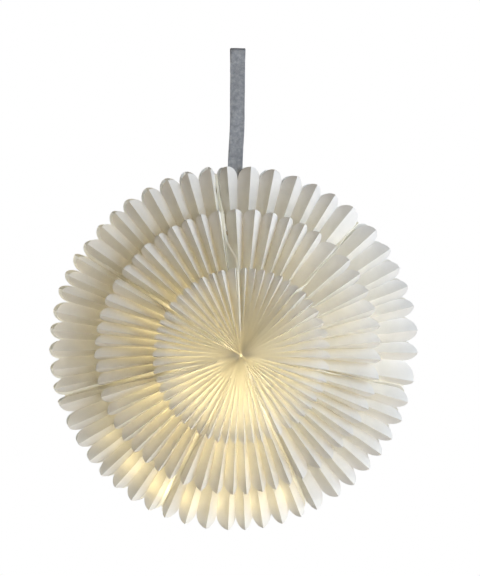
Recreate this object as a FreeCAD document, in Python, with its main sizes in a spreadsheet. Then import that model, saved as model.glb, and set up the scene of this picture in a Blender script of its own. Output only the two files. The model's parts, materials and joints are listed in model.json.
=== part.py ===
import FreeCAD, Part
import math
import os

import Sketcher

# Accordion paper lantern, millimetres, +Z up, the front faces -Y.
# Three pleated rosettes stand in front of each other and three more behind them.
# The origin is the middle of the hanging loop. The lantern's axis runs along Y, `drop` below it.
# Angles round the axis are counted from +X towards +Z, as seen from the front.

SHEET_VALUES = [
    # alias, value, meaning
    ("drop", 482, "hanging loop's middle down to the lantern's axis"),
    ("paper", 0.4, "thickness of the pleated paper, measured along the lantern's axis"),
    ("card", 1.2, "thickness of a seam rib, two glued end panels"),
    ("cover", 0.8, "thickness of each end cover"),
    ("glue_gap", 0.2, "gap between a fan's end and the card beside it"),
    ("petal_count", 8, "petals in one fan"),
    ("closing_petals", 7, "petals in a fan beside the closing seam, clockwise of it"),
    ("outer_tip", 300, "radius of the outer rosette's tips"),
    ("outer_root", 205, "inner radius of the outer rosette"),
    ("outer_notch", 24, "depth of the notch between two outer petals"),
    ("outer_plane", 3, "outer rosette's valleys to the lantern's middle plane"),
    ("outer_fold", 19, "height of an outer ridge over the valleys, at its tip"),
    ("medium_tip", 233, "radius of the medium rosette's tips"),
    ("medium_root", 118, "inner radius of the medium rosette"),
    ("medium_notch", 17, "depth of the notch between two medium petals"),
    ("medium_plane", 25, "medium rosette's valleys to the middle plane"),
    ("medium_fold", 27, "height of a medium ridge over the valleys, at its tip"),
    ("small_tip", 143, "radius of the small rosette's tips"),
    ("small_root", 8, "inner radius of the small rosette"),
    ("small_notch", 15, "depth of the notch between two small petals"),
    ("small_plane", 61, "small rosette's valleys to the middle plane"),
    ("small_fold", 23, "height of a small ridge over the valleys, at its tip"),
    ("cut_margin", 6, "how far a scalloping cut runs past the tips"),
    ("rib_eye", 40, "radius where a rib's inner arms end"),
    ("rib_hollow", 125, "radius of the lamp space that the ribs go round"),
    ("rib_arm", 57, "middle plane to the inner edge of a rib's arms"),
    ("rib_bevel_deep", 18, "bevel between the lamp space and an arm, along the lantern's axis"),
    ("rib_bevel_long", 27, "the same bevel, along the radius"),
    ("rib_reach", 288, "outer radius of a rib"),
    ("rib_setback", 6, "how far a rib ends inside the medium and small tips"),
    ("disc_radius", 12, "radius of the discs that the pleats meet on"),
    ("disc_thick", 1.2, "thickness of those discs"),
    ("seam_gap", 0.8, "space between the two end covers"),
    ("dot_radius", 6, "radius of a closing dot"),
    ("dot_row", 9, "a row of closing dots to the middle plane"),
    ("strap_width", 25, "width of the hanging strap"),
    ("strap_thick", 1, "thickness of the hanging strap"),
    ("strap_shift", 4.5, "strap's middle to the lantern's axis, sideways"),
    ("loop_radius", 4, "inner radius of the hanging loop"),
    ("strap_split", 315, "height over the axis where the strap starts to twist"),
    ("pin_height", 190, "height of the hanging pin over the axis"),
    ("pin_radius", 3, "radius of the hanging pin"),
    ("pin_clear", 0.3, "clearance round the pin in the strap and the bracket"),
    ("eyelet_clear", 1.8, "clearance round the pin in the end covers"),
    ("pin_left", 31, "pin's free end to the lantern's axis, sideways"),
    ("pin_right", 23.5, "pin's head to the lantern's axis, sideways"),
    ("pin_head", 5.5, "radius of the pin's head"),
    ("pin_head_long", 3, "length of the pin's head"),
    ("bracket_side", 21.7, "lamp bracket's near face to the axis, sideways"),
    ("bracket_thick", 1, "thickness of the lamp bracket's strip"),
    ("bracket_width", 12, "width of the lamp bracket's strip"),
    ("bracket_foot", 8, "how far the bracket's foot passes the lampholder's axis"),
    ("holder_top", 10, "top of the lampholder over the lantern's axis"),
    ("holder_long", 48, "length of the lampholder"),
    ("holder_radius", 14, "outer radius of the lampholder"),
    ("neck_radius", 5, "radius of the lampholder's neck"),
    ("neck_long", 11, "length of the lampholder's neck"),
    ("inlet_radius", 3, "radius of the cord inlet through the neck"),
    ("socket_radius", 7.4, "radius of the lampholder's socket"),
    ("socket_deep", 27, "depth of the lampholder's socket"),
    ("base_radius", 6.8, "radius of the bulb's screw base"),
    ("base_long", 28, "length of the bulb's screw base"),
    ("base_gap", 0.6, "screw base to the socket's end"),
    ("base_shoulder", 2.4, "height of the cone on top of the screw base"),
    ("globe_radius", 22.5, "outer radius of the bulb's globe"),
    ("globe_wall", 1, "thickness of the bulb's glass"),
    ("globe_neck", 9, "outer radius of the glass where it meets the base"),
    ("globe_drop", 67, "middle of the globe below the lantern's axis"),
]

TIERS = ("small", "medium", "outer")
# Where the card seams stand. The first is the closing seam, and the rest follow clockwise.
SEAM_ANGLES = (97, 45.5, -13.5, -65.5, -115.3, -165.5, -212.5, -263)
DOT_RADII = (215, 262)

Y_AXIS = FreeCAD.Vector(0, 1, 0)
Z_AXIS = FreeCAD.Vector(0, 0, 1)


class Size:
    """A number together with the expression that binds it to the spreadsheet."""

    def __init__(self, value, text):
        self.value = value
        self.text = text

    def joined(self, other, sign, value):
        return Size(value, f"({self.text} {sign} {size_of(other).text})")

    def __add__(self, other):
        return self.joined(other, "+", self.value + size_of(other).value)

    def __sub__(self, other):
        return self.joined(other, "-", self.value - size_of(other).value)

    def __mul__(self, other):
        return self.joined(other, "*", self.value * size_of(other).value)

    def __truediv__(self, other):
        return self.joined(other, "/", self.value / size_of(other).value)

    def __neg__(self):
        return Size(-self.value, f"(-{self.text})")

    def tangent(self):
        return Size(math.tan(math.radians(self.value)), f"tan({self.text} * 1 deg)")

    def arcsine(self):
        return Size(math.degrees(math.asin(self.value)), f"(asin({self.text}) / 1 deg)")


def size_of(number):
    return number if isinstance(number, Size) else Size(number, f"{number}")


ZERO = size_of(0)
document = FreeCAD.newDocument("PaperLantern")


def make_sheet():
    """The driving dimensions. Returns each one by its alias."""
    sheet = document.addObject("Spreadsheet::Sheet", "Dimensions")
    found = {}
    for row, (alias, value, meaning) in enumerate(SHEET_VALUES, start=1):
        sheet.set(f"A{row}", alias)
        sheet.set(f"B{row}", f"{value}")
        sheet.set(f"C{row}", meaning)
        sheet.setAlias(f"B{row}", alias)
        found[alias] = Size(value, f"Dimensions.{alias}")
    document.recompute()
    return found


cell = make_sheet()


def new_body(label, turn=ZERO):
    """A body whose own origin is on the lantern's axis, turned from +X towards +Z."""
    body = document.addObject("PartDesign::Body", label)
    body.Label = label
    body.Placement = FreeCAD.Placement(FreeCAD.Vector(), FreeCAD.Rotation(Y_AXIS, -1))
    body.setExpression("Placement.Rotation.Angle", f"-{turn.text} * 1 deg")
    body.setExpression("Placement.Base.z", f"-{cell['drop'].text}")
    return body


def origin_feature(body, role):
    return next(f for f in body.Origin.OriginFeatures if f.Role == role)


def new_sketch(body, role, offset=ZERO):
    """A sketch on one of the body's origin planes, moved along the plane's normal."""
    sketch = body.newObject("Sketcher::SketchObject", f"{body.Name}_sketch")
    sketch.AttachmentSupport = [(origin_feature(body, role), "")]
    sketch.MapMode = "FlatFace"
    sketch.setExpression("AttachmentOffset.Base.z", offset.text)
    return sketch


def bind(sketch, kind, *where, size):
    """A constraint whose value follows the sheet."""
    number = sketch.addConstraint(Sketcher.Constraint(kind, *where, size.value))
    sketch.setExpression(f"Constraints[{number}]", size.text)


def pin_point(sketch, edge, end, across, up):
    bind(sketch, "DistanceX", -1, 1, edge, end, size=across)
    bind(sketch, "DistanceY", -1, 1, edge, end, size=up)


def add_polygon(sketch, corners):
    """A closed outline whose corners are pairs of sizes."""
    points = [FreeCAD.Vector(x.value, y.value, 0) for x, y in corners]
    edges = [Part.LineSegment(a, b) for a, b in zip(points, points[1:] + points[:1])]
    first = sketch.addGeometry(edges, False)[0]
    count = len(points)
    for k, (across, up) in enumerate(corners):
        before = first + (k - 1) % count
        sketch.addConstraint(Sketcher.Constraint("Coincident", before, 2, first + k, 1))
        pin_point(sketch, first + k, 1, across, up)


def add_circle(sketch, across, up, radius):
    centre = FreeCAD.Vector(across.value, up.value, 0)
    edge = sketch.addGeometry(Part.Circle(centre, Z_AXIS, radius.value), False)
    pin_point(sketch, edge, 3, across, up)
    bind(sketch, "Radius", edge, size=radius)


def add_pad(body, sketch, length, symmetric=False):
    pad = body.newObject("PartDesign::Pad", f"{body.Name}_pad")
    pad.Profile = sketch
    pad.SideType = "Symmetric" if symmetric else "One side"
    pad.setExpression("Length", length.text)
    return pad


def add_cut_through(body, sketch):
    """A pocket that goes right through the body on both sides of its sketch."""
    pocket = body.newObject("PartDesign::Pocket", f"{body.Name}_pocket")
    pocket.Profile = sketch
    pocket.SideType = "Symmetric"
    pocket.Type = "ThroughAll"
    return pocket


# The pleated fans


def chevron_outline(tier, radius, half_angle, side):
    """The folded paper's section across one petal, at one radius."""
    tip, plane, fold = (cell[f"{tier}_{word}"] for word in ("tip", "plane", "fold"))
    ridge = (plane + fold * radius / tip) * side
    valley = plane * side
    skin = cell["paper"] * side
    half_width = radius * half_angle.tangent()
    return [
        (ridge, ZERO),
        (valley, half_width),
        (valley - skin, half_width),
        (ridge - skin, ZERO),
        (valley - skin, -half_width),
        (valley, -half_width),
    ]


def add_scallop(sketch, tier, half_angle):
    """What is cut off a petal's end: it leaves two arcs that meet at the tip."""
    tip, notch = cell[f"{tier}_tip"], cell[f"{tier}_notch"]
    root = tip - notch
    far = tip + cell["cut_margin"]
    slope = half_angle.tangent()
    root_half, far_half = root * slope, far * slope
    # an arc that leaves the valley along the petal and ends at the tip
    sag = (notch.value**2 - root_half.value**2) / (2 * root_half.value)
    radius = root_half.value + sag
    lean = math.atan2(sag, notch.value)
    upper = Part.Circle(FreeCAD.Vector(root.value, -sag, 0), Z_AXIS, radius)
    lower = Part.Circle(FreeCAD.Vector(root.value, sag, 0), Z_AXIS, radius)
    corners = [
        FreeCAD.Vector(root.value, root_half.value, 0),
        FreeCAD.Vector(far.value, far_half.value, 0),
        FreeCAD.Vector(far.value, -far_half.value, 0),
        FreeCAD.Vector(root.value, -root_half.value, 0),
    ]
    shape = [
        Part.ArcOfCircle(upper, lean, math.pi / 2),
        Part.LineSegment(corners[0], corners[1]),
        Part.LineSegment(corners[1], corners[2]),
        Part.LineSegment(corners[2], corners[3]),
        Part.ArcOfCircle(lower, -math.pi / 2, -lean),
    ]
    sketch.addGeometry(shape, False)
    joints = ((0, 2, 1, 1), (1, 2, 2, 1), (2, 2, 3, 1), (3, 2, 4, 1), (4, 2, 0, 1))
    for joint in joints:
        sketch.addConstraint(Sketcher.Constraint("Coincident", *joint))
    pin_point(sketch, 1, 1, root, root_half)
    pin_point(sketch, 2, 1, far, far_half)
    pin_point(sketch, 3, 1, far, -far_half)
    pin_point(sketch, 4, 1, root, -root_half)
    pin_point(sketch, 0, 1, tip, ZERO)
    bind(sketch, "DistanceX", -1, 1, 0, 3, size=root)
    bind(sketch, "DistanceX", -1, 1, 4, 3, size=root)


def make_fan(label, tier, petals, start, span, side):
    """One fan: a folded petal, scalloped, and repeated round the lantern's axis."""
    card_radius = cell["rib_eye"] if tier == "small" else cell[f"{tier}_root"]
    margin = ((cell["card"] / 2 + cell["glue_gap"]) / card_radius).arcsine()
    pitch = (size_of(span) - margin * 2) / petals
    half_angle = pitch / 2
    body = new_body(label, size_of(start) + margin + half_angle)
    sections = []
    for radius in (cell[f"{tier}_root"], cell[f"{tier}_tip"] + cell["cut_margin"] / 2):
        section = new_sketch(body, "YZ_Plane", radius)
        add_polygon(section, chevron_outline(tier, radius, half_angle, side))
        sections.append(section)
    petal = body.newObject("PartDesign::AdditiveLoft", f"{label}_petal")
    petal.Profile = sections[0]
    petal.Sections = [(sections[1], [""])]
    petal.Ruled = True
    outline = new_sketch(body, "XZ_Plane")
    add_scallop(outline, tier, half_angle)
    scallop = add_cut_through(body, outline)
    fan = body.newObject("PartDesign::PolarPattern", f"{label}_petals")
    fan.Originals = [petal, scallop]
    fan.Axis = (origin_feature(body, "Y_Axis"), [""])
    fan.Reversed = True
    fan.Mode = "Spacing"
    fan.setExpression("Occurrences", petals.text)
    fan.setExpression("Offset", f"{pitch.text} * 1 deg")
    body.Tip = fan
    return body


# The seam ribs and the end covers


def rib_half_outline():
    """The front half of a rib's outline, from the lamp space to its outer end: radius and height."""

    def ridge(tier, radius):
        return cell[f"{tier}_plane"] + cell[f"{tier}_fold"] * radius / cell[f"{tier}_tip"]

    setback = cell["rib_setback"]
    small_end = cell["small_tip"] - setback
    medium_end = cell["medium_tip"] - setback
    step = setback * 2
    return [
        (cell["rib_hollow"], cell["rib_arm"] - cell["rib_bevel_deep"]),
        (cell["rib_hollow"] - cell["rib_bevel_long"], cell["rib_arm"]),
        (cell["rib_eye"], cell["rib_arm"]),
        (cell["rib_eye"], ridge("small", cell["rib_eye"])),
        (small_end, ridge("small", small_end)),
        (small_end + step, ridge("medium", small_end + step)),
        (medium_end, ridge("medium", medium_end)),
        (medium_end + step, ridge("outer", medium_end + step)),
        (cell["rib_reach"], ridge("outer", cell["rib_reach"])),
    ]


def add_rib_outline(sketch):
    half = rib_half_outline()
    front = [(radius, -height) for radius, height in half]
    add_polygon(sketch, front + half[::-1])


def make_rib(label, angle):
    body = new_body(label, size_of(angle))
    outline = new_sketch(body, "XY_Plane")
    add_rib_outline(outline)
    add_pad(body, outline, cell["card"], symmetric=True)
    return body


def make_end_cover(label, angle, side):
    """Half of the closing seam, with the hole that goes over the hanging pin."""
    body = new_body(label, size_of(angle))
    outline = new_sketch(body, "XY_Plane", (cell["seam_gap"] + cell["cover"]) / 2 * side)
    add_rib_outline(outline)
    add_pad(body, outline, cell["cover"], symmetric=True)
    hole = new_sketch(body, "XY_Plane")
    pin_radius = cell["pin_height"] / size_of(math.sin(math.radians(angle)))
    add_circle(hole, pin_radius, ZERO, cell["pin_radius"] + cell["eyelet_clear"])
    add_cut_through(body, hole)
    return body


def make_closing_dots(label, angle, side):
    """The dots on one end cover that hold the seam shut: a front row and a rear row."""
    body = new_body(label, size_of(angle))
    sketch = new_sketch(body, "XY_Plane", cell["seam_gap"] / 4 * side)
    for radius in DOT_RADII:
        for row in (1, -1):
            add_circle(sketch, size_of(radius), cell["dot_row"] * row, cell["dot_radius"])
    add_pad(body, sketch, cell["seam_gap"] / 2, symmetric=True)
    return body


# The strap, the hanging pin and the lamp


def make_strap(label, low, high, ring_height, ring_radius, hole_radius):
    """A length of strap from `low` to `high` with a sewn loop round `ring_height`."""
    body = new_body(label)
    left = cell["strap_shift"] - cell["strap_width"] / 2
    half = cell["strap_thick"] / 2
    leg = new_sketch(body, "YZ_Plane", left)
    add_polygon(leg, [(-half, low), (half, low), (half, high), (-half, high)])
    add_pad(body, leg, cell["strap_width"])
    ring = new_sketch(body, "YZ_Plane", left)
    add_circle(ring, ZERO, ring_height, ring_radius)
    add_pad(body, ring, cell["strap_width"])
    hole = new_sketch(body, "YZ_Plane")
    add_circle(hole, ZERO, ring_height, hole_radius)
    add_cut_through(body, hole)
    return body


def make_strap_upper():
    ring = cell["loop_radius"] + cell["strap_thick"]
    return make_strap(
        "strap_upper", cell["strap_split"], cell["drop"], cell["drop"], ring, cell["loop_radius"]
    )


def make_strap_lower():
    hole = cell["pin_radius"] + cell["pin_clear"]
    ring = hole + cell["strap_thick"]
    return make_strap(
        "strap_lower", cell["pin_height"], cell["strap_split"], cell["pin_height"], ring, hole
    )


def make_hanging_pin():
    """A round pin with a head. It goes through the strap, the lamp bracket and both end covers."""
    body = new_body("hanging_pin")
    shaft = new_sketch(body, "YZ_Plane", -cell["pin_left"])
    add_circle(shaft, ZERO, cell["pin_height"], cell["pin_radius"])
    add_pad(body, shaft, cell["pin_left"] + cell["pin_right"])
    head = new_sketch(body, "YZ_Plane", cell["pin_right"])
    add_circle(head, ZERO, cell["pin_height"], cell["pin_head"])
    add_pad(body, head, cell["pin_head_long"])
    return body


def make_lamp_bracket():
    """A bent metal strip: an upright with an eye for the pin, and a foot over the lampholder."""
    body = new_body("lamp_bracket")
    near = cell["bracket_side"]
    far = near + cell["bracket_thick"]
    base = cell["holder_top"]
    top = cell["pin_height"] + cell["bracket_width"] / 2
    foot_end = -cell["bracket_foot"]
    profile = new_sketch(body, "XZ_Plane")
    foot_top = base + cell["bracket_thick"]
    corners = [
        (foot_end, base),
        (far, base),
        (far, top),
        (near, top),
        (near, foot_top),
        (foot_end, foot_top),
    ]
    add_polygon(profile, corners)
    add_pad(body, profile, cell["bracket_width"], symmetric=True)
    eye = new_sketch(body, "YZ_Plane", near)
    add_circle(eye, ZERO, cell["pin_height"], cell["pin_radius"] + cell["pin_clear"])
    add_cut_through(body, eye)
    neck_hole = new_sketch(body, "XY_Plane", base)
    add_circle(neck_hole, ZERO, ZERO, cell["neck_radius"] + cell["pin_clear"] / 2)
    pocket = body.newObject("PartDesign::Pocket", "lamp_bracket_neck_hole")
    pocket.Profile = neck_hole
    pocket.Reversed = True
    pocket.setExpression("Length", (cell["bracket_thick"] * 2).text)
    return body


def revolve(body, corners):
    """Turns an outline, given as radius and height, about the vertical axis."""
    sketch = new_sketch(body, "XZ_Plane")
    add_polygon(sketch, corners)
    turned = body.newObject("PartDesign::Revolution", f"{body.Name}_revolution")
    turned.Profile = sketch
    turned.ReferenceAxis = (sketch, ["V_Axis"])
    turned.Angle = 360
    return turned


def make_lampholder():
    body = new_body("lampholder")
    top = cell["holder_top"]
    bottom = top - cell["holder_long"]
    neck_top = top + cell["neck_long"]
    socket_end = bottom + cell["socket_deep"]
    corners = [
        (cell["inlet_radius"], neck_top),
        (cell["inlet_radius"], socket_end),
        (cell["socket_radius"], socket_end),
        (cell["socket_radius"], bottom),
        (cell["holder_radius"], bottom),
        (cell["holder_radius"], top),
        (cell["neck_radius"], top),
        (cell["neck_radius"], neck_top),
    ]
    revolve(body, corners)
    return body


def base_top():
    bottom = cell["holder_top"] - cell["holder_long"]
    return bottom + cell["socket_deep"] - cell["base_gap"]


def make_bulb_base():
    body = new_body("bulb_base")
    top = base_top()
    bottom = top - cell["base_long"]
    contact = cell["inlet_radius"]
    shoulder = top - cell["base_shoulder"]
    corners = [
        (ZERO, bottom),
        (cell["base_radius"], bottom),
        (cell["base_radius"], shoulder),
        (contact, top),
        (ZERO, top),
    ]
    revolve(body, corners)
    return body


def make_bulb_glass():
    """A hollow globe whose neck closes under the screw base."""
    body = new_body("bulb_glass")
    roof = base_top() - cell["base_long"]
    ceiling = roof - cell["globe_wall"]
    middle = -cell["globe_drop"]
    outer, outer_neck = cell["globe_radius"], cell["globe_neck"]
    inner, inner_neck = outer - cell["globe_wall"], outer_neck - cell["globe_wall"]
    centre = FreeCAD.Vector(0, middle.value, 0)
    shape = []
    for radius, neck, top in ((outer, outer_neck, roof), (inner, inner_neck, ceiling)):
        end = math.acos(neck.value / radius.value)
        mouth = middle.value + radius.value * math.sin(end)
        circle = Part.Circle(centre, Z_AXIS, radius.value)
        corner = FreeCAD.Vector(neck.value, top.value, 0)
        shape += [
            Part.ArcOfCircle(circle, -math.pi / 2, end),
            Part.LineSegment(FreeCAD.Vector(neck.value, mouth, 0), corner),
            Part.LineSegment(corner, FreeCAD.Vector(0, top.value, 0)),
        ]
    top_ends = FreeCAD.Vector(0, roof.value, 0), FreeCAD.Vector(0, ceiling.value, 0)
    low_ends = [FreeCAD.Vector(0, middle.value - r.value, 0) for r in (outer, inner)]
    shape += [Part.LineSegment(*top_ends), Part.LineSegment(*low_ends)]
    outline = new_sketch(body, "XZ_Plane")
    outline.addGeometry(shape, False)
    meetings = ((0, 2, 1, 1), (1, 2, 2, 1), (3, 2, 4, 1), (4, 2, 5, 1))
    closings = ((6, 1, 2, 2), (6, 2, 5, 2), (7, 1, 0, 1), (7, 2, 3, 1))
    for meeting in meetings + closings:
        outline.addConstraint(Sketcher.Constraint("Coincident", *meeting))
    for first, radius, neck, top in ((0, outer, outer_neck, roof), (3, inner, inner_neck, ceiling)):
        pin_point(outline, first, 3, ZERO, middle)
        bind(outline, "Radius", first, size=radius)
        pin_point(outline, first + 2, 1, neck, top)
        pin_point(outline, first + 2, 2, ZERO, top)
        bind(outline, "DistanceX", -1, 1, first, 2, size=neck)
        bind(outline, "DistanceX", -1, 1, first, 1, size=ZERO)
    turned = body.newObject("PartDesign::Revolution", "bulb_glass_revolution")
    turned.Profile = outline
    turned.ReferenceAxis = (outline, ["V_Axis"])
    turned.Angle = 360
    return body


def make_centre_discs():
    """One disc behind the front pleats and one behind the rear pleats."""
    body = new_body("centre_discs")
    near = cell["small_plane"] - cell["paper"] - cell["glue_gap"] - cell["disc_thick"]
    for side in (1, -1):
        disc = new_sketch(body, "XZ_Plane", near * side)
        add_circle(disc, ZERO, ZERO, cell["disc_radius"])
        pad = add_pad(body, disc, cell["disc_thick"])
        pad.Reversed = side < 0
    return body


def make_all():
    for tier in TIERS:
        for number in range(1, len(SEAM_ANGLES)):
            after, before = SEAM_ANGLES[number - 1], SEAM_ANGLES[number]
            petals = cell["closing_petals"] if number == 1 else cell["petal_count"]
            for side_name, side in (("front", -1), ("rear", 1)):
                label = f"fan_{side_name}_{tier}_{number}"
                make_fan(label, tier, petals, before, after - before, side)
    for number, angle in enumerate(SEAM_ANGLES[1:-1], start=1):
        make_rib(f"seam_rib_{number}", angle)
    make_end_cover("end_cover_fixed", SEAM_ANGLES[0], -1)
    make_end_cover("end_cover_moving", SEAM_ANGLES[0], 1)
    make_closing_dots("closing_dots_fixed", SEAM_ANGLES[0], -1)
    make_closing_dots("closing_dots_moving", SEAM_ANGLES[0], 1)
    make_centre_discs()
    make_strap_upper()
    make_strap_lower()
    make_hanging_pin()
    make_lamp_bracket()
    make_lampholder()
    make_bulb_base()
    make_bulb_glass()


def check_document():
    document.recompute()
    for item in document.Objects:
        if "Invalid" in item.State or "Error" in item.State:
            raise RuntimeError(f"{item.Label} failed: {item.State}")
    bodies = [item for item in document.Objects if item.TypeId == "PartDesign::Body"]
    for body in bodies:
        if body.Shape.isNull() or not body.Shape.isValid():
            raise RuntimeError(f"{body.Label} has no valid shape")
    return bodies


make_all()
os.makedirs("parts", exist_ok=True)
for part in check_document():
    part.Shape.exportStep(f"parts/{part.Label}.step")
    box = part.Shape.BoundBox
    print(part.Label, len(part.Shape.Solids), round(part.Shape.Volume), box)
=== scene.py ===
import json
import math
import random

import bpy
import numpy as np
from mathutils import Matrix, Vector


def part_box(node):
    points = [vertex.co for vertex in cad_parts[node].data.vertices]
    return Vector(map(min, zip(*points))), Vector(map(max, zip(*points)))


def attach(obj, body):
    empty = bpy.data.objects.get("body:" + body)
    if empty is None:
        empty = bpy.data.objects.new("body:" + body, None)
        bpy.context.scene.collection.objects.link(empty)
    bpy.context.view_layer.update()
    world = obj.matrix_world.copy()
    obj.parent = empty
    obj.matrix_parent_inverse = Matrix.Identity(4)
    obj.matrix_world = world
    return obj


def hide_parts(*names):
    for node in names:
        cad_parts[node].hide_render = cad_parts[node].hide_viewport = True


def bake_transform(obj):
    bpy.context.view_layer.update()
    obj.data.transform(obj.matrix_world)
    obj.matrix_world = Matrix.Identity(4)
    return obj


# Accordion paper lantern, lit from inside, on a flat ribbon. Metres, +Z up, the front faces -Y.
# Angles round the lantern's axis are in degrees, counted from +X towards +Z as seen from the front.

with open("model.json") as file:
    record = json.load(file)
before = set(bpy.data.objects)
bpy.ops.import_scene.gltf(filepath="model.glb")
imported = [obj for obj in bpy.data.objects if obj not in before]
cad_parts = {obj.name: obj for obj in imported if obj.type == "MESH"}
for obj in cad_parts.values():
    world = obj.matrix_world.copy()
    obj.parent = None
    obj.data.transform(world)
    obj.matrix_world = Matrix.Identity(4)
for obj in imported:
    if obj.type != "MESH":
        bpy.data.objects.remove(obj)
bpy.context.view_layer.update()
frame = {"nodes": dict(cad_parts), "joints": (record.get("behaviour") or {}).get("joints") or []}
nodes = frame["nodes"]

MM = 0.001
TIERS = ("small", "medium", "outer")
SIDES = {"front": -1, "rear": 1}
SEGMENTS = 7
PETALS = 8
CLOSING_PETALS = 7  # in segment 1, beside the closing seam

hinge = next(joint for joint in frame["joints"] if joint["name"] == "fold_2")
AXIS_X, _, AXIS_Z = hinge["pos_m"]


# Places read from the frame


def polar(node):
    """Each vertex's radius, angle and distance from the middle plane, round the lantern's axis."""
    points = np.array([vertex.co for vertex in nodes[node].data.vertices], float)
    across, up = points[:, 0] - AXIS_X, points[:, 2] - AXIS_Z
    return np.hypot(across, up), np.degrees(np.arctan2(up, across)), np.abs(points[:, 1])


def seam_angles():
    """The closing seam and the six ribs, clockwise, and the closing seam again."""
    found = [float(np.median(polar("end_cover_fixed")[1]))]
    for number in range(1, SEGMENTS):
        angle = float(np.median(polar(f"seam_rib_{number}")[1]))
        while angle > found[-1]:
            angle -= 360
        found.append(angle)
    return found + [found[0] - 360]


def tier_sizes(tier):
    radius, _, depth = polar(f"fan_front_{tier}_3")
    return {"root": radius.min(), "tip": radius.max(), "valley": depth.min(), "ridge": depth.max()}


SEAMS = seam_angles()
SIZES = {tier: tier_sizes(tier) for tier in TIERS}
NOTCH = {"small": 15 * MM, "medium": 17 * MM, "outer": 24 * MM}  # how deep it is between two petals
# How far a seam leans out of its own plane in the small rosette, where the card is free to bend, in degrees.
SMALL_LEAN = {0: -4.1, 1: 4.0, 2: 1.5, 3: -0.8, 4: 0.8, 5: -1.2, 6: 0.5}
REAR_LEAN_SHARE = 0.4  # the rear small rosette leans less
# How far the rear outer tips stand out past the front ones, by segment.
REAR_SPREAD = {1: -3 * MM, 2: -2 * MM, 3: -1 * MM, 4: 0, 5: 3 * MM, 6: 4.5 * MM, 7: 1.5 * MM}
REAR_CURL = 6 * MM  # the rear outer tips bend in towards the lamp
RIM_WIDTH = 55 * MM  # the tips let less light through, over this much of their length
OUTER_RIDGES = {1: (94.1, 86.5, 79, 71.4, 64.5, 57.9, 50.9)}  # the angles of a fan's ridges, set one by one
CENTRE_DEPTH = 70 * MM  # where the small rosette's pleats meet
CENTRE_ROOT = 1.5 * MM
CENTRE_REACH = 70 * MM  # the pleats get shallower inside this radius
CENTRE_POWER = 0.55  # and do so ever faster towards the middle


def seam_lean(seam, tier, side):
    """The lean of one seam in degrees, the same for the card and for the pleats glued to it."""
    if tier != "small":
        return 0.0
    lean = SMALL_LEAN[seam % SEGMENTS]
    return lean if side < 0 else REAR_LEAN_SHARE * lean


def place(angle, radius, depth):
    """A point given round the lantern's axis. depth is along +Y, so the front has a negative one."""
    turn = math.radians(angle)
    return (AXIS_X + radius * math.cos(turn), depth, AXIS_Z + radius * math.sin(turn))


# Materials


def new_material(name):
    """A material, its node tree and its Principled shader."""
    material = bpy.data.materials.new(name)
    material.use_nodes = True
    tree = material.node_tree
    return material, tree, tree.nodes["Principled BSDF"]


def add_node(tree, kind, **values):
    node = tree.nodes.new(kind)
    for key, value in values.items():
        if key in node.inputs:
            node.inputs[key].default_value = value
        else:
            setattr(node, key, value)
    return node


def join(tree, out_node, out_socket, in_node, in_socket):
    tree.links.new(out_node.outputs[out_socket], in_node.inputs[in_socket])


def set_inputs(shader, **values):
    for key, value in values.items():
        shader.inputs[key.replace("_", " ")].default_value = value


def add_ramp(tree, source, socket, low, high, low_colour, high_colour):
    ramp = add_node(tree, "ShaderNodeValToRGB")
    ramp.color_ramp.elements[0].position = low
    ramp.color_ramp.elements[0].color = (*low_colour, 1)
    ramp.color_ramp.elements[1].position = high
    ramp.color_ramp.elements[1].color = (*high_colour, 1)
    join(tree, source, socket, ramp, "Fac")
    return ramp


def add_bump(tree, shader, source, socket, strength, distance):
    bump = add_node(tree, "ShaderNodeBump", Strength=strength, Distance=distance)
    join(tree, source, socket, bump, "Height")
    join(tree, bump, "Normal", shader, "Normal")
    return bump


RIM_SHADE = 0.55  # the share of the light that comes through which is lost at the very tips


def paper_material(name, low, high, shine_through, share):
    """Uncoated paper: cloudy fibres, a faint tooth, worn folds, and light that comes through it."""
    material, tree, shader = new_material(name)
    set_inputs(shader, Roughness=0.78, Specular_IOR_Level=0.25)
    where = add_node(tree, "ShaderNodeTexCoord")
    cloud = add_node(tree, "ShaderNodeTexNoise", Scale=38.0, Detail=5.0, Roughness=0.6)
    fibre = add_node(tree, "ShaderNodeTexNoise", Scale=900.0, Detail=3.0, Roughness=0.7)
    join(tree, where, "UV", cloud, "Vector")
    join(tree, where, "UV", fibre, "Vector")
    tone = add_ramp(tree, cloud, "Fac", 0.3, 0.7, low, high)
    crease = add_node(tree, "ShaderNodeAttribute", attribute_name="crease")
    worn = add_node(tree, "ShaderNodeMix", data_type="RGBA", blend_type="MIX")
    worn.inputs["B"].default_value = (0.94, 0.94, 0.95, 1)
    fade = add_node(tree, "ShaderNodeMath", operation="MULTIPLY")
    fade.inputs[1].default_value = 0.5
    join(tree, crease, "Fac", fade, 0)
    join(tree, fade, "Value", worn, "Factor")
    join(tree, tone, "Color", worn, "A")
    join(tree, worn, "Result", shader, "Base Color")
    bump = add_bump(tree, shader, fibre, "Fac", 0.12, 0.0003)
    glow = add_node(tree, "ShaderNodeBsdfTranslucent")
    formation = add_ramp(
        tree, cloud, "Fac", 0.25, 0.75, [value * 0.9 for value in shine_through], shine_through
    )
    join(tree, formation, "Color", glow, "Color")
    join(tree, bump, "Normal", glow, "Normal")
    # the share of light that comes through is smaller at the tips
    rim = add_node(tree, "ShaderNodeAttribute", attribute_name="rim")
    shade = add_node(tree, "ShaderNodeMath", operation="MULTIPLY_ADD")
    shade.inputs[1].default_value = -RIM_SHADE * share
    shade.inputs[2].default_value = share
    join(tree, rim, "Fac", shade, 0)
    mix = add_node(tree, "ShaderNodeMixShader")
    join(tree, shade, "Value", mix, "Fac")
    join(tree, shader, "BSDF", mix, 1)
    join(tree, glow, "BSDF", mix, 2)
    join(tree, mix, "Shader", tree.nodes["Material Output"], "Surface")
    return material


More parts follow.
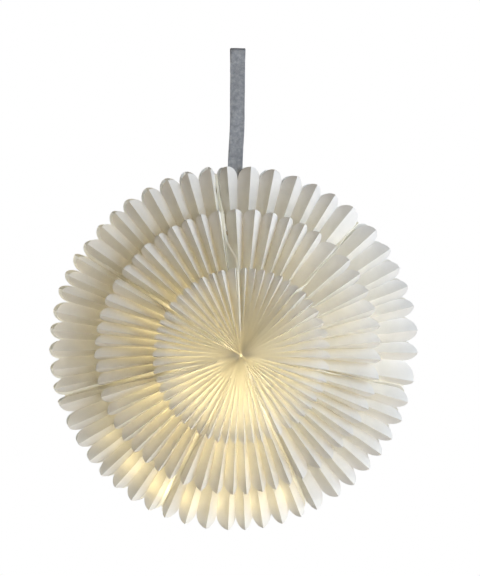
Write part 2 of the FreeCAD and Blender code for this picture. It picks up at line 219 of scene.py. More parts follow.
def strap_material():
    """Brushed cotton ribbon: a fine twill under a mottled, slightly shiny pile."""
    material, tree, shader = new_material("ribbon")
    set_inputs(shader, Roughness=0.85, Sheen_Weight=0.35, Sheen_Roughness=0.4)
    shader.inputs["Sheen Tint"].default_value = (0.85, 0.88, 0.95, 1)
    where = add_node(tree, "ShaderNodeTexCoord")
    mottle = add_node(tree, "ShaderNodeTexNoise", Scale=140.0, Detail=6.0, Roughness=0.65)
    join(tree, where, "UV", mottle, "Vector")
    tone = add_ramp(tree, mottle, "Fac", 0.32, 0.68, (0.215, 0.235, 0.27), (0.40, 0.425, 0.475))
    twill = add_node(tree, "ShaderNodeTexWave", Scale=420.0, Distortion=1.2, Detail=2.0)
    twill.bands_direction = "DIAGONAL"
    join(tree, where, "UV", twill, "Vector")
    weave = add_node(tree, "ShaderNodeMix", data_type="RGBA", blend_type="MULTIPLY")
    weave.inputs["Factor"].default_value = 0.25
    join(tree, tone, "Color", weave, "A")
    join(tree, twill, "Color", weave, "B")
    join(tree, weave, "Result", shader, "Base Color")
    add_bump(tree, shader, twill, "Fac", 0.35, 0.0003)
    return material


def thread_material():
    material, tree, shader = new_material("thread")
    set_inputs(shader, Roughness=0.6, Sheen_Weight=0.2)
    where = add_node(tree, "ShaderNodeTexCoord")
    ply = add_node(tree, "ShaderNodeTexNoise", Scale=2500.0, Detail=2.0)
    join(tree, where, "Object", ply, "Vector")
    tone = add_ramp(tree, ply, "Fac", 0.3, 0.7, (0.20, 0.21, 0.23), (0.34, 0.35, 0.37))
    join(tree, tone, "Color", shader, "Base Color")
    return material


def noisy_material(name, low, high, scale, roughness, bump, stretch=(1, 1, 1), **inputs):
    """A surface whose tone and roughness vary with a noise that can be drawn out along one way."""
    material, tree, shader = new_material(name)
    set_inputs(shader, **inputs)
    where = add_node(tree, "ShaderNodeTexCoord")
    mapping = add_node(tree, "ShaderNodeMapping", Scale=stretch)
    noise = add_node(tree, "ShaderNodeTexNoise", Scale=scale, Detail=6.0, Roughness=0.6)
    join(tree, where, "Object", mapping, "Vector")
    join(tree, mapping, "Vector", noise, "Vector")
    tone = add_ramp(tree, noise, "Fac", 0.3, 0.7, low, high)
    join(tree, tone, "Color", shader, "Base Color")
    sheen = add_node(tree, "ShaderNodeMapRange")
    sheen.inputs["To Min"].default_value = roughness * 0.8
    sheen.inputs["To Max"].default_value = roughness * 1.2
    join(tree, noise, "Fac", sheen, "Value")
    join(tree, sheen, "Result", shader, "Roughness")
    add_bump(tree, shader, noise, "Fac", bump, 0.0004)
    return material


LAMP_STRENGTH = 21.0
LAMP_COLOUR = (1.0, 0.91, 0.68)


def lamp_material():
    """The frosted globe, lit."""
    material, tree, shader = new_material("lit_globe")
    set_inputs(shader, Roughness=0.45, Emission_Strength=LAMP_STRENGTH)
    shader.inputs["Emission Color"].default_value = (*LAMP_COLOUR, 1)
    where = add_node(tree, "ShaderNodeTexCoord")
    frost = add_node(tree, "ShaderNodeTexNoise", Scale=600.0, Detail=3.0)
    join(tree, where, "Object", frost, "Vector")
    tone = add_ramp(tree, frost, "Fac", 0.3, 0.7, (0.85, 0.83, 0.78), (0.95, 0.93, 0.9))
    join(tree, tone, "Color", shader, "Base Color")
    add_bump(tree, shader, frost, "Fac", 0.1, 0.0002)
    return material


MATERIALS = {
    "paper": paper_material(
        "lantern_paper", (0.84, 0.84, 0.85), (0.90, 0.90, 0.91), (0.97, 0.91, 0.70), 0.35
    ),
    "card": paper_material(
        "seam_card", (0.82, 0.81, 0.79), (0.88, 0.87, 0.85), (0.93, 0.88, 0.66), 0.25
    ),
    "disc": paper_material(
        "centre_card", (0.86, 0.85, 0.82), (0.90, 0.89, 0.86), (0.95, 0.91, 0.82), 0.75
    ),
    "strap": strap_material(),
    "thread": thread_material(),
    "wood": noisy_material(
        "pin_wood", (0.42, 0.27, 0.14), (0.62, 0.44, 0.26), 90.0, 0.5, 0.3, (0.12, 1, 1)
    ),
    "steel": noisy_material(
        "brushed_steel", (0.50, 0.51, 0.52), (0.66, 0.67, 0.68), 700.0, 0.32, 0.12, (1, 1, 0.04),
        Metallic=1.0,
    ),
    "holder": noisy_material(
        "moulded_plastic", (0.74, 0.73, 0.70), (0.80, 0.79, 0.76), 500.0, 0.38, 0.06
    ),
    "brass": noisy_material(
        "screw_base", (0.62, 0.56, 0.42), (0.78, 0.74, 0.62), 300.0, 0.3, 0.1, Metallic=1.0
    ),
    "dots": noisy_material("hook_and_loop", (0.70, 0.70, 0.70), (0.86, 0.86, 0.86), 2200.0, 0.9, 0.9),
    "lamp": lamp_material(),
}


# Meshes


def new_piece(name, vertices, faces, material, smooth=40, uv=None):
    """A mesh object with one material. smooth is the angle in degrees past which an edge is sharp."""
    mesh = bpy.data.meshes.new(name)
    mesh.from_pydata(vertices, [], faces)
    if uv is not None:
        layer = mesh.uv_layers.new(name="UVMap")
        order = np.empty(len(mesh.loops), np.int32)
        mesh.loops.foreach_get("vertex_index", order)
        layer.data.foreach_set("uv", np.array(uv, np.float32)[order].ravel())
    mesh.polygons.foreach_set("use_smooth", [True] * len(mesh.polygons))
    mesh.set_sharp_from_angle(angle=math.radians(smooth))
    mesh.materials.append(MATERIALS[material])
    mesh.validate()
    mesh.update()
    piece = bpy.data.objects.new(name, mesh)
    bpy.context.scene.collection.objects.link(piece)
    return piece


def grid_faces(columns, rows, first=0):
    """Quads over a grid whose vertices run column by column."""
    return [
        (
            first + column * rows + row,
            first + (column + 1) * rows + row,
            first + (column + 1) * rows + row + 1,
            first + column * rows + row + 1,
        )
        for column in range(columns - 1)
        for row in range(rows - 1)
    ]


# The pleated fans

FACET_STEPS = 6  # columns across one facet
RADIAL_STEPS = 14
PITCH_SPREAD = 0.13  # how uneven the petals are, as a share of their width
RIDGE_SPREAD = 0.07  # how far a ridge stands off the middle of its petal, as a share of its width
TIP_SPREAD = 1.6 * MM
BULGE = (-0.02, 0.07)  # how far a facet bows, as a share of the pleat's height
CURL = (-1.2 * MM, 0.9 * MM)  # how far a tip bends out of its ridge
CREASE_SHARPNESS = 12
END_GAP = (3 * MM, 6 * MM)  # the slot of light beside a seam, in front, on its clockwise side
REAR_GAP = 0.3 * MM
WIDEST_GAP = 0.3  # near the axis, as a share of a petal
LAST_FACET = 0.3  # the last facet before a seam, as a share of a petal


def fold_depths(tier, radius):
    """Valley and ridge, measured from the middle plane, at one radius."""
    size = SIZES[tier]
    if tier != "small" or radius > CENTRE_REACH:
        return size["valley"], size["ridge"]
    share = (max(radius - CENTRE_ROOT, 0) / (CENTRE_REACH - CENTRE_ROOT)) ** CENTRE_POWER
    meet = CENTRE_DEPTH
    return meet + (size["valley"] - meet) * share, meet + (size["ridge"] - meet) * share


def petal_edges(count, rng):
    """Where the valleys and ridges stand along a fan, as shares of it."""
    widths = [1 + rng.uniform(-PITCH_SPREAD, PITCH_SPREAD) for _ in range(count)]
    total = sum(widths)
    valleys = [0.0]
    for width in widths:
        valleys.append(valleys[-1] + width / total)
    ridges = [
        a + (b - a) * (0.5 + rng.uniform(-RIDGE_SPREAD, RIDGE_SPREAD))
        for a, b in zip(valleys, valleys[1:])
    ]
    ridges[-1] = valleys[-1] - (valleys[-1] - valleys[-2]) * LAST_FACET
    creases = [valleys[0]]
    for ridge, valley in zip(ridges, valleys[1:]):
        creases += [ridge, valley]
    return creases


def set_edges(ridges, start, end):
    """The same shares from the ridges' own angles. Each valley is half way between two ridges."""
    valleys = [start] + [(a + b) / 2 for a, b in zip(ridges, ridges[1:])] + [end]
    angles = [valleys[0]]
    for ridge, valley in zip(ridges, valleys[1:]):
        angles += [ridge, valley]
    return [(start - angle) / (start - end) for angle in angles]


def fan_columns(count):
    """Each column of a fan: its facet, whether that rises to a ridge, and its place from valley to ridge.

    The place is an angle from 0 to a quarter turn.
    """
    columns = []
    for facet in range(2 * count):
        rising = facet % 2 == 0
        for step in range(0 if facet == 0 else 1, FACET_STEPS + 1):
            across = step / FACET_STEPS
            columns.append((facet, rising, (across if rising else 1 - across) * math.pi / 2))
    return columns


def make_fan(tier, side_name, number):
    """One fan of pleated paper, from the seam number - 1 clockwise to the seam number."""
    side = SIDES[side_name]
    rear_outer = tier == "outer" and side > 0
    rng = random.Random(f"{tier} {number}")
    start = SEAMS[number - 1] + seam_lean(number - 1, tier, side)
    end = SEAMS[number] + seam_lean(number, tier, side)
    count = CLOSING_PETALS if number == 1 else PETALS
    creases = petal_edges(count, rng)
    if tier == "outer" and number in OUTER_RIDGES:
        creases = set_edges(OUTER_RIDGES[number], start, end)
    size = SIZES[tier]
    root = CENTRE_ROOT if tier == "small" else size["root"]
    tip = size["tip"] + (REAR_SPREAD[number] if rear_outer else 0)
    notch = tip - NOTCH[tier]
    tips = [tip - rng.uniform(0, TIP_SPREAD) for _ in range(count)]
    bulges = [rng.uniform(*BULGE) for _ in range(2 * count)]
    curls = [rng.uniform(*CURL) for _ in range(count)]
    end_gap = rng.uniform(*END_GAP) if side < 0 else REAR_GAP
    vertices, uv, weights, wear, rim = [], [], [], [], []
    columns = fan_columns(count)
    for column, (facet, rising, turn) in enumerate(columns):
        petal = facet // 2
        height = 1 - math.cos(turn)
        edge = notch + (tips[petal] - notch) * math.sin(turn)
        shift = height if rising else 1 - height
        share = creases[facet] + (creases[facet + 1] - creases[facet]) * shift
        crown = height + bulges[facet] * math.sin(math.pi * height)
        for row in range(RADIAL_STEPS + 1):
            along = row / RADIAL_STEPS
            radius = root + (edge - root) * along
            gap_turn = min(math.degrees(end_gap / radius), WIDEST_GAP * (start - end) / count)
            angle = start - gap_turn + (end - start + gap_turn) * share
            valley, ridge = fold_depths(tier, radius)
            curl = curls[petal] * height * along**4
            if rear_outer:
                curl -= REAR_CURL * height * along**6
            depth = valley + (ridge - valley) * crown + curl
            vertices.append(place(angle, radius, side * depth))
            # every petal takes its own part of the paper's pattern
            uv.append((radius, column * 0.004 + petal * 0.37 + number * 1.3))
            weights.append((start - angle) / (start - end))
            wear.append(max(0.0, 1 - CREASE_SHARPNESS * min(height, 1 - height)))
            # the rear outer tips are as bright as the rest of their fan
            rim.append(0.0 if rear_outer else max(0.0, 1 - (edge - radius) / RIM_WIDTH) ** 1.5)
    faces = grid_faces(len(columns), RADIAL_STEPS + 1)
    piece = new_piece(f"paper_{side_name}_{tier}_{number}", vertices, faces, "paper", uv=uv)
    for name, values in (("crease", wear), ("rim", rim)):
        attribute = piece.data.attributes.new(name, "FLOAT", "POINT")
        attribute.data.foreach_set("value", np.array(values, np.float32))
    if number == 1:
        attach(piece, "lantern")
    else:
        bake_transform(piece)
    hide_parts(f"fan_{side_name}_{tier}_{number}")


for tier in TIERS:
    for side_name in SIDES:
        for number in range(1, SEGMENTS + 1):
            make_fan(tier, side_name, number)


# The seam ribs and the end covers

RIB_EYE = 40 * MM
RIB_STEP = 6 * MM
RIB_BOW = 0.5 * MM
RIB_THICK = 0.9 * MM
RIB_HEIGHT = 0.4  # 0 is as low as the valleys, 1 is as high as the ridges
COVER_THICK = 0.8 * MM
COVER_HEIGHT = 0.9


def rib_sizes(node):
    """Where a rib's lamp space, bevel and outer end are, read from its own outline."""
    radius, _, depth = polar(node)
    arm = depth[radius < RIB_EYE + MM].min()
    hollow = radius[depth < arm - MM].min()
    bevel = radius[(np.abs(depth - arm) < 0.5 * MM) & (radius > RIB_EYE + MM)].max()
    return {"arm": arm, "hollow": hollow, "bevel": bevel, "reach": radius.max()}


def rib_stations(size, height):
    """Along the radius: how far a rib's front edge stands from the middle plane.

    height is 0 where the edge lies in the valleys and 1 where it is as high as the ridges.
    """
    small_end = SIZES["small"]["tip"] - RIB_STEP
    medium_end = SIZES["medium"]["tip"] - RIB_STEP

    def edge(tier, radius=CENTRE_REACH):
        valley, ridge = fold_depths(tier, radius)
        return valley + (ridge - valley) * height

    half_way = 0.5 * (RIB_EYE + CENTRE_REACH)
    return [
        (RIB_EYE, max(edge("small", RIB_EYE), size["arm"] + 1 * MM)),
        (half_way, edge("small", half_way)),
        (CENTRE_REACH, edge("small")),
        (size["bevel"], edge("small")),
        (size["hollow"], edge("small")),
        (small_end, edge("small")),
        (small_end + 3 * RIB_STEP, 0.4 * edge("small") + 0.6 * edge("medium")),
        (0.5 * (small_end + medium_end), edge("medium")),
        (medium_end, edge("medium")),
        (medium_end + 3 * RIB_STEP, 0.4 * edge("medium") + 0.6 * edge("outer")),
        (0.6 * medium_end + 0.4 * size["reach"] + RIB_STEP, edge("outer")),
        (size["reach"] - 2 * RIB_STEP, edge("outer") - 1 * MM),
        (size["reach"], 0.55 * edge("outer")),
    ]


def make_rib(name, node, body, seam, thickness, height, shift=0.0):
    """A card that stands in a seam. It bends a little in the small rosette, with the pleats."""
    size = rib_sizes(node)
    stations = rib_stations(size, height)
    angle = SEAMS[seam]
    small_valley = SIZES["small"]["valley"]

    def sheet_point(radius, depth, side, face):
        bend = min(1.0, max(0.0, (depth - size["arm"]) / (small_valley - size["arm"])))
        bend *= min(1.0, radius / CENTRE_REACH + 0.3)
        lean = seam_lean(seam, "small", side) * bend
        bow = RIB_BOW * math.sin(radius / (40 * MM) + seam) * min(1.0, depth / (20 * MM))
        x, y, z = place(angle + lean, radius, side * depth)
        turn = math.radians(angle + lean)
        off = face * thickness / 2 + shift + bow
        return (x - math.sin(turn) * off, y, z + math.cos(turn) * off)

    vertices, faces = [], []

    def add_half(side):
        """One arm and half of the web, as a thin closed card."""
        rows = 9
        sheets = []
        for face in (-1, 1):
            first = len(vertices)
            for radius, edge in stations:
                low = size["arm"] if radius < size["hollow"] - 1e-6 else 0.0
                for row in range(rows):
                    depth = low + (edge - low) * row / (rows - 1)
                    vertices.append(sheet_point(radius, depth, side, face))
            sheets.append(first)
        count = len(stations)
        for first in sheets:
            faces.extend(grid_faces(count, rows, first))
        low_first, high_first = sheets
        border = list(range(rows))
        border += [column * rows + rows - 1 for column in range(1, count)]
        border += [(count - 1) * rows + row for row in range(rows - 2, -1, -1)]
        border += [column * rows for column in range(count - 2, 0, -1)]
        for a, b in zip(border, border[1:] + border[:1]):
            faces.append((low_first + a, low_first + b, high_first + b, high_first + a))

    add_half(-1)
    add_half(1)
    uv = [(vertex[1], math.hypot(vertex[0], vertex[2] - AXIS_Z)) for vertex in vertices]
    piece = new_piece(name, vertices, faces, "card", uv=uv)
    piece.visible_shadow = False  # the thin card lets most of the lamp's light past
    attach(piece, body)
    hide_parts(node)


for number in range(1, SEGMENTS):
    body = "lantern" if number == 1 else f"segment_{number}"
    make_rib(f"rib_card_{number}", f"seam_rib_{number}", body, number, RIB_THICK, RIB_HEIGHT)
for state, body, seam, shift in (
    ("fixed", "lantern", 0, -COVER_THICK),
    ("moving", "segment_7", SEGMENTS, COVER_THICK),
):
    make_rib(f"cover_card_{state}", f"end_cover_{state}", body, seam, COVER_THICK, COVER_HEIGHT, shift)


# The strap

strap_low, strap_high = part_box("strap_upper")
pin_low, pin_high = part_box("hanging_pin")
STRAP_WIDTH = strap_high.x - strap_low.x - 1 * MM
STRAP_MIDDLE = (strap_high.x + strap_low.x) / 2
STRAP_SIDE = -4 * MM  # the cloth hangs a little to the left of the loop's middle
STRAP_LEAN = 2.3 * MM  # less so at its top, and more so at its foot
BEND_TOP = -0.1  # the height at which it starts to bend sideways
BEND_LENGTH = 0.1
STRAP_THICK = 0.9 * MM
PIN_Z = (pin_low.z + pin_high.z) / 2
LOOP = strap_high.z - STRAP_THICK / 2
PIN_LOOP = (pin_high.z - pin_low.z) / 2 * 0.62 + STRAP_THICK
TAIL = 34 * MM


def strap_route():
    """The strap's middle line seen from the side: (y, z), from one sewn end to the other."""
    tail_y = -STRAP_THICK * 1.05  # the whole route is mirrored at the end, so the tails lie at the back
    route = [(tail_y, -TAIL), (tail_y, -0.7 * TAIL), (tail_y, -4.2 * LOOP)]
    for turn in (200, 150, 110, 70, 30, -20):
        at = math.radians(turn)
        route.append((LOOP * math.cos(at), LOOP * math.sin(at)))
    route += [(0.2 * MM, -4.2 * LOOP), (0, -0.7 * TAIL), (0, -TAIL), (0, -1.5 * TAIL)]
    low = PIN_Z + 5.5 * PIN_LOOP
    steps = 12
    for step in range(1, steps):
        height = -1.5 * TAIL + (low + 1.5 * TAIL) * step / steps
        route.append((0.5 * MM * math.sin(step * 1.9), height))
    route += [(0, low), (0.1 * MM, PIN_Z + 3.4 * PIN_LOOP)]
    for turn in (25, -25, -70, -110, -155, -205):
        at = math.radians(turn)
        route.append((PIN_LOOP * math.cos(at), PIN_Z + PIN_LOOP * math.sin(at)))
    route += [(tail_y, PIN_Z + 3.4 * PIN_LOOP), (tail_y, low), (tail_y, low + 0.4 * TAIL)]
    return [(-y, z) for y, z in route]


def strap_x(height):
    """The strap's middle at one height. It hangs straight, then bends sideways above the lantern."""
    share = min(1.0, max(0.0, (BEND_TOP - height) / BEND_LENGTH))
    return STRAP_MIDDLE + STRAP_SIDE + STRAP_LEAN * (1 - 2 * share * share * (3 - 2 * share))


def smooth_line(points, steps):
    """Points along a Catmull-Rom spline through the given ones."""
    points = [np.array(point, float) for point in points]
    ends = [2 * points[0] - points[1]] + points + [2 * points[-1] - points[-2]]
    line = []
    for a, b, c, d in zip(ends, ends[1:], ends[2:], ends[3:]):
        for step in range(steps):
            s = step / steps
            square = (2 * a - 5 * b + 4 * c - d) * s**2
            cube = (3 * b - a - 3 * c + d) * s**3
            line.append(0.5 * (2 * b + (c - a) * s + square + cube))
    return line + [points[-1]]


def line_length(line):
    return float(sum(np.linalg.norm(b - a) for a, b in zip(line, line[1:])))


def ribbon_frames(line):
    """Each point of the line with the way its flat side faces."""
    frames = []
    for k, point in enumerate(line):
        ahead = line[min(k + 1, len(line) - 1)] - line[max(k - 1, 0)]
        ahead = ahead / np.linalg.norm(ahead)
        frames.append((point, np.array((ahead[1], -ahead[0]))))
    return frames


def raised(across, middle, width):
    """1 at one place across the ribbon, fading to 0 on both sides of it."""
    return math.exp(-(((across - middle) / width) ** 2))


def make_strap():
    line = smooth_line(strap_route(), 6)
    columns = 16
    vertices, uv = [], []
    travelled = 0.0
    before = line[0]
    for point, facing in ribbon_frames(line):
        travelled += float(np.linalg.norm(point - before))
        before = point
        sway = 0.35 * MM * math.sin(travelled / (31 * MM))
        for face in (1, -1):
            for column in range(columns + 1):
                across = column / columns * 2 - 1
                across *= face
                hem = raised(abs(across), 0.9, 0.07)
                groove = raised(abs(across), 0.74, 0.05)
                fold = raised(across, -0.2, 0.06)
                rounding = math.sqrt(max(0.0, 1 - max(0.0, abs(across) - 0.93) ** 2 / 0.0049))
                half = STRAP_THICK / 2 * (0.78 + 0.3 * hem - 0.2 * groove - 0.14 * fold) * rounding
                wave = 0.25 * MM * math.sin(travelled / (17 * MM) + 2 * across)
                y, z = point + facing * (face * half + wave * (1 - hem))
                vertices.append((strap_x(z) + sway + across * STRAP_WIDTH / 2, y, z))
                uv.append((across * STRAP_WIDTH / 2, travelled))
    ring = 2 * (columns + 1)
    rings = len(line)
    faces = [
        (k * ring + n, k * ring + (n + 1) % ring, (k + 1) * ring + (n + 1) % ring, (k + 1) * ring + n)
        for k in range(rings - 1)
        for n in range(ring)
    ]
    faces.append(tuple(reversed(range(ring))))
    faces.append(tuple((rings - 1) * ring + n for n in range(ring)))
    piece = new_piece("ribbon_strap", vertices, faces, "strap", smooth=60, uv=uv)
    return piece, line_length(line)


def add_stitch(vertices, faces, start, end, radius):
    """One stitch: a short thread that dips into the cloth at both ends."""
    start, end = Vector(start), Vector(end)
    along = (end - start).normalized()
    side = along.cross(Vector((0, 1, 0))).normalized()
    out = side.cross(along)
    sides, stations = 6, 5
    first = len(vertices)
    for station in range(stations):
        share = station / (stations - 1)
        girth = radius * (0.35 + 0.65 * math.sin(math.pi * share))
        middle = start.lerp(end, share)
        for n in range(sides):
            turn = n / sides * 2 * math.pi
            vertices.append(middle + (side * math.cos(turn) + out * math.sin(turn)) * girth)
    for station in range(stations - 1):
        for n in range(sides):
            a = first + station * sides + n
            b = first + station * sides + (n + 1) % sides
            faces.append((a, b, b + sides, a + sides))
    faces.append(tuple(first + n for n in reversed(range(sides))))
    faces.append(tuple(first + (stations - 1) * sides + n for n in range(sides)))


def make_stitching():
    """Rows of stitches across both sewn loops, and along both hems."""
    vertices, faces = [], []
    gap, long = 1.1 * MM, 2.2 * MM
    rear = STRAP_THICK * 1.6
    reach = STRAP_WIDTH / 2 * 0.72
    top_rows = (-4.6 * LOOP, -0.95 * TAIL)
    foot_rows = (PIN_Z + 4.2 * PIN_LOOP, PIN_Z + 5.5 * PIN_LOOP + 0.3 * TAIL)
    for height in top_rows + foot_rows:
        x = strap_x(height) - reach
        while x < strap_x(height) + reach - long:
            add_stitch(vertices, faces, (x, rear, height), (x + long, rear, height), 0.28 * MM)
            x += long + gap
    for edge in (-1, 1):
        z = -TAIL * 1.1
        while z > PIN_Z + 8.5 * PIN_LOOP:
            at = strap_x(z) + edge * STRAP_WIDTH / 2 * 0.78
            for face in (-1, 1):
                y = face * STRAP_THICK * 0.42
                add_stitch(vertices, faces, (at, y, z), (at, y, z - long), 0.22 * MM)
            z -= long + gap
    return new_piece("strap_stitching", vertices, faces, "thread")


def make_strap_pieces():
    strap, length = make_strap()
    stitching = make_stitching()
    for piece in (strap, stitching):
        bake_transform(piece)
    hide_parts("strap_upper", "strap_lower")


make_strap_pieces()


# The lamp

SPIN_STEPS = 64
GLOBE_STEPS = 26
NECK_STEPS = 8
GLOBE_FOOT = -89.5  # degrees up from the globe's middle
GLOBE_SHOULDER = 52.5  # where the neck begins


def spin(profile, x, y):
    """A shape turned round a vertical line, from its (radius, height) outline."""
    vertices, faces = [], []
    for radius, height in profile:
        for n in range(SPIN_STEPS):
            turn = n / SPIN_STEPS * 2 * math.pi
            vertices.append((x + radius * math.cos(turn), y + radius * math.sin(turn), height))
    for ring in range(len(profile) - 1):
        for n in range(SPIN_STEPS):
            a = ring * SPIN_STEPS + n
            b = ring * SPIN_STEPS + (n + 1) % SPIN_STEPS
            faces.append((a, a + SPIN_STEPS, b + SPIN_STEPS, b))
    return vertices, faces


def make_globe():
    """The frosted globe, one skin, so that its light leaves it freely."""
    low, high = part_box("bulb_glass")
    x, y = (low.x + high.x) / 2, (low.y + high.y) / 2
    radius = (high.x - low.x) / 2
    centre = low.z + radius
    neck = 0.4 * radius
    profile = []
    for step in range(GLOBE_STEPS + 1):
        turn = math.radians(GLOBE_FOOT + (GLOBE_SHOULDER - GLOBE_FOOT) * step / GLOBE_STEPS)
        profile.append((radius * math.cos(turn), centre + radius * math.sin(turn)))
    last_radius, last_height = profile[-1]
    for step in range(1, NECK_STEPS + 1):
        share = step / NECK_STEPS
        ease = share * share * (3 - 2 * share)
        height = last_height + (high.z - last_height) * share
        profile.append((last_radius + (neck - last_radius) * ease, height))
    vertices, faces = spin(profile, x, y)
    globe = new_piece("frosted_globe", vertices, faces, "lamp")
    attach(globe, "bulb")
    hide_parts("bulb_glass")


make_globe()


# CAD nodes that stay as they are

SHOWN_NODES = {
    "hanging_pin": "wood",
    "lamp_bracket": "steel",
    "lampholder": "holder",
    "bulb_base": "brass",
    "centre_discs": "disc",
    "closing_dots_fixed": "dots",
    "closing_dots_moving": "dots",
}
for name, material in SHOWN_NODES.items():
    mesh = nodes[name].data
    mesh.materials.clear()
    mesh.materials.append(MATERIALS[material])
nodes["centre_discs"].visible_shadow = False  # thin, and hard against the pleats that it would darken


# Studio

FLOOR_Z = -2.2
FLOOR_RADIUS = 3.0
FLOOR_STEPS = 96
FLOOR_GLOW = 0.8
WHITE = 1.0  # what the camera sees behind the lantern
FILL = 0.05  # what falls on the lantern from all round
SOFT_BOX = (2.4, 1.4)  # distance and size of the large area lights
CAMERA_LENS = 100  # millimetres
CAMERA_FILM = 36  # millimetres, along the picture's longer side
CAMERA_DISTANCE = 2.60
CAMERA_AZIMUTH = -7
CAMERA_ELEVATION = 9
AIM_RIGHT = 4 * MM
AIM_UP = 102 * MM


def direction(azimuth, elevation):
    """From the lantern towards a point of the studio. Azimuth 0 is straight in front."""
    a, e = math.radians(azimuth), math.radians(elevation)
    return Vector((math.sin(a) * math.cos(e), -math.cos(a) * math.cos(e), math.sin(e)))


def make_floor():
    """A round pale floor, well below the lantern."""
    vertices = [(0, 0, FLOOR_Z)]
    for n in range(FLOOR_STEPS):
        turn = n / FLOOR_STEPS * 2 * math.pi
        vertices.append((FLOOR_RADIUS * math.cos(turn), FLOOR_RADIUS * math.sin(turn), FLOOR_Z))
    faces = [(0, 1 + n, 1 + (n + 1) % FLOOR_STEPS) for n in range(FLOOR_STEPS)]
    material, tree, shader = new_material("studio_floor")
    set_inputs(shader, Roughness=0.9, Emission_Strength=FLOOR_GLOW)
    where = add_node(tree, "ShaderNodeTexCoord")
    noise = add_node(tree, "ShaderNodeTexNoise", Scale=6.0, Detail=4.0)
    join(tree, where, "Object", noise, "Vector")
    tone = add_ramp(tree, noise, "Fac", 0.3, 0.7, (0.86, 0.86, 0.86), (0.9, 0.9, 0.9))
    join(tree, tone, "Color", shader, "Base Color")
    join(tree, tone, "Color", shader, "Emission Color")
    mesh = bpy.data.meshes.new("floor")
    mesh.from_pydata(vertices, [], faces)
    mesh.materials.append(material)
    floor = bpy.data.objects.new("floor", mesh)
    # it looks evenly pale, but throws no light of its own on the lantern
    floor.visible_diffuse = floor.visible_glossy = floor.visible_transmission = False
    bpy.context.scene.collection.objects.link(floor)


def make_world():
    """White behind the lantern, and a dimmer, slightly cool light from all round."""
    world = bpy.data.worlds.new("studio")
    world.use_nodes = True
    bpy.context.scene.world = world
    tree = world.node_tree
    ambient = tree.nodes["Background"]
    ambient.inputs["Color"].default_value = (0.93, 0.95, 1.0, 1)
    ambient.inputs["Strength"].default_value = FILL
    white = add_node(tree, "ShaderNodeBackground")
    white.inputs["Color"].default_value = (1, 1, 1, 1)
    white.inputs["Strength"].default_value = WHITE
    path = add_node(tree, "ShaderNodeLightPath")
    mix = add_node(tree, "ShaderNodeMixShader")
    join(tree, path, "Is Camera Ray", mix, "Fac")
    join(tree, ambient, "Background", mix, 1)
    join(tree, white, "Background", mix, 2)
    join(tree, mix, "Shader", tree.nodes["World Output"], "Surface")


def add_area_light(name, azimuth, elevation, distance, size, energy, colour):
    """A round soft light that faces the lantern's middle."""
    data = bpy.data.lights.new(name, "AREA")
    data.shape = "DISK"
    data.size = size
    data.energy = energy
    data.color = colour
    light = bpy.data.objects.new(name, data)
    towards = direction(azimuth, elevation)
    light.location = Vector((AXIS_X, 0, AXIS_Z)) + towards * distance
    light.rotation_mode = "QUATERNION"
    light.rotation_quaternion = towards.to_track_quat("Z", "Y")
    bpy.context.scene.collection.objects.link(light)


WARM = (1.0, 0.84, 0.48)
PALE = (1.0, 0.96, 0.90)
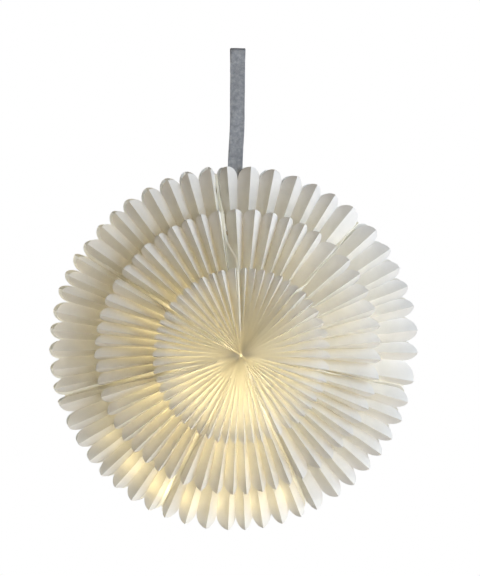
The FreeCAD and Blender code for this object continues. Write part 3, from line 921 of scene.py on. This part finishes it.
# Small lights that add to the lamp's own, as the inside of the paper spreads it: body, angle, radius,
# depth, watts, size and colour. Radius, depth and size are in millimetres. The last five stand just
# outside the tips at the left, and light the rear ones.
GLOWS = (
    ("lantern", 245, 14, 0, 0.46, 30, WARM),
    ("lantern", 245, 10, -25, 0.10, 16, WARM),
    ("lantern", 245, 10, 25, 0.10, 16, WARM),
    ("segment_5", 211, 117, 0, 0.13, 30, WARM),
    ("segment_4", 270, 200, 0, 0.075, 30, WARM),
    ("segment_5", 243, 200, 0, 0.03, 30, WARM),
    ("segment_6", 170, 140, 0, 0.06, 30, WARM),
    ("segment_7", 141, 128, 0, 0.05, 30, WARM),
    ("segment_4", 288, 262, 0, 0.045, 24, WARM),
    ("segment_4", 276, 262, 0, 0.045, 24, WARM),
    ("segment_4", 264, 262, 0, 0.045, 24, WARM),
    ("segment_4", 252, 262, 0, 0.055, 24, WARM),
    ("segment_5", 240, 262, 0, 0.060, 24, WARM),
    ("segment_5", 228, 255, 0, 0.045, 24, WARM),
    ("segment_5", 214, 250, 0, 0.025, 24, WARM),
    ("lantern", 55, 190, 0, 0.014, 12, PALE),
    ("segment_2", 10, 190, 0, 0.024, 12, PALE),
    ("segment_6", 192, 345, -8, 0.04, 12, WARM),
    ("segment_6", 176, 345, -8, 0.05, 12, WARM),
    ("segment_6", 160, 345, -8, 0.05, 12, WARM),
    ("segment_7", 144, 345, -8, 0.05, 12, WARM),
    ("segment_7", 128, 345, -8, 0.04, 12, WARM),
)


def add_glow(name, body, angle, radius, depth, watts, size, colour):
    """One row of GLOWS, as a light that the camera doesn't see and that moves with its body."""
    data = bpy.data.lights.new(name, "POINT")
    data.energy = watts
    data.color = colour
    data.shadow_soft_size = size * MM
    light = bpy.data.objects.new(name, data)
    light.location = place(angle, radius * MM, depth * MM)
    light.visible_camera = False
    bpy.context.scene.collection.objects.link(light)
    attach(light, body)


def make_camera():
    """The photograph's viewing angle. The camera aims above the lantern's middle, a little to its right."""
    data = bpy.data.cameras.new("camera")
    data.lens = CAMERA_LENS
    data.sensor_width = CAMERA_FILM
    camera = bpy.data.objects.new("camera", data)
    back = direction(CAMERA_AZIMUTH, CAMERA_ELEVATION)
    centre = Vector((AXIS_X, -SIZES["outer"]["ridge"], AXIS_Z))
    right = Vector((0, 0, 1)).cross(back).normalized()
    up = back.cross(right)
    camera.location = centre + back * CAMERA_DISTANCE
    aim = centre + right * AIM_RIGHT + up * AIM_UP
    camera.rotation_mode = "QUATERNION"
    camera.rotation_quaternion = (camera.location - aim).to_track_quat("Z", "Y")
    bpy.context.scene.collection.objects.link(camera)
    bpy.context.scene.camera = camera


make_floor()
make_world()
add_area_light("front", 5, 8, *SOFT_BOX, 22, (1.0, 0.84, 0.62))
add_area_light("low", 45, -45, *SOFT_BOX, 46, (1.0, 0.97, 0.93))
add_area_light("near_right", 45, 20, 1.0, 0.6, 5.6, (0.72, 0.85, 1.0))
add_area_light("backdrop", 190, -35, *SOFT_BOX, 78, (0.70, 0.79, 1.0))
for number, glow in enumerate(GLOWS, start=1):
    add_glow(f"glow_{number}", *glow)
make_camera()
bpy.context.scene.view_settings.view_transform = "Standard"
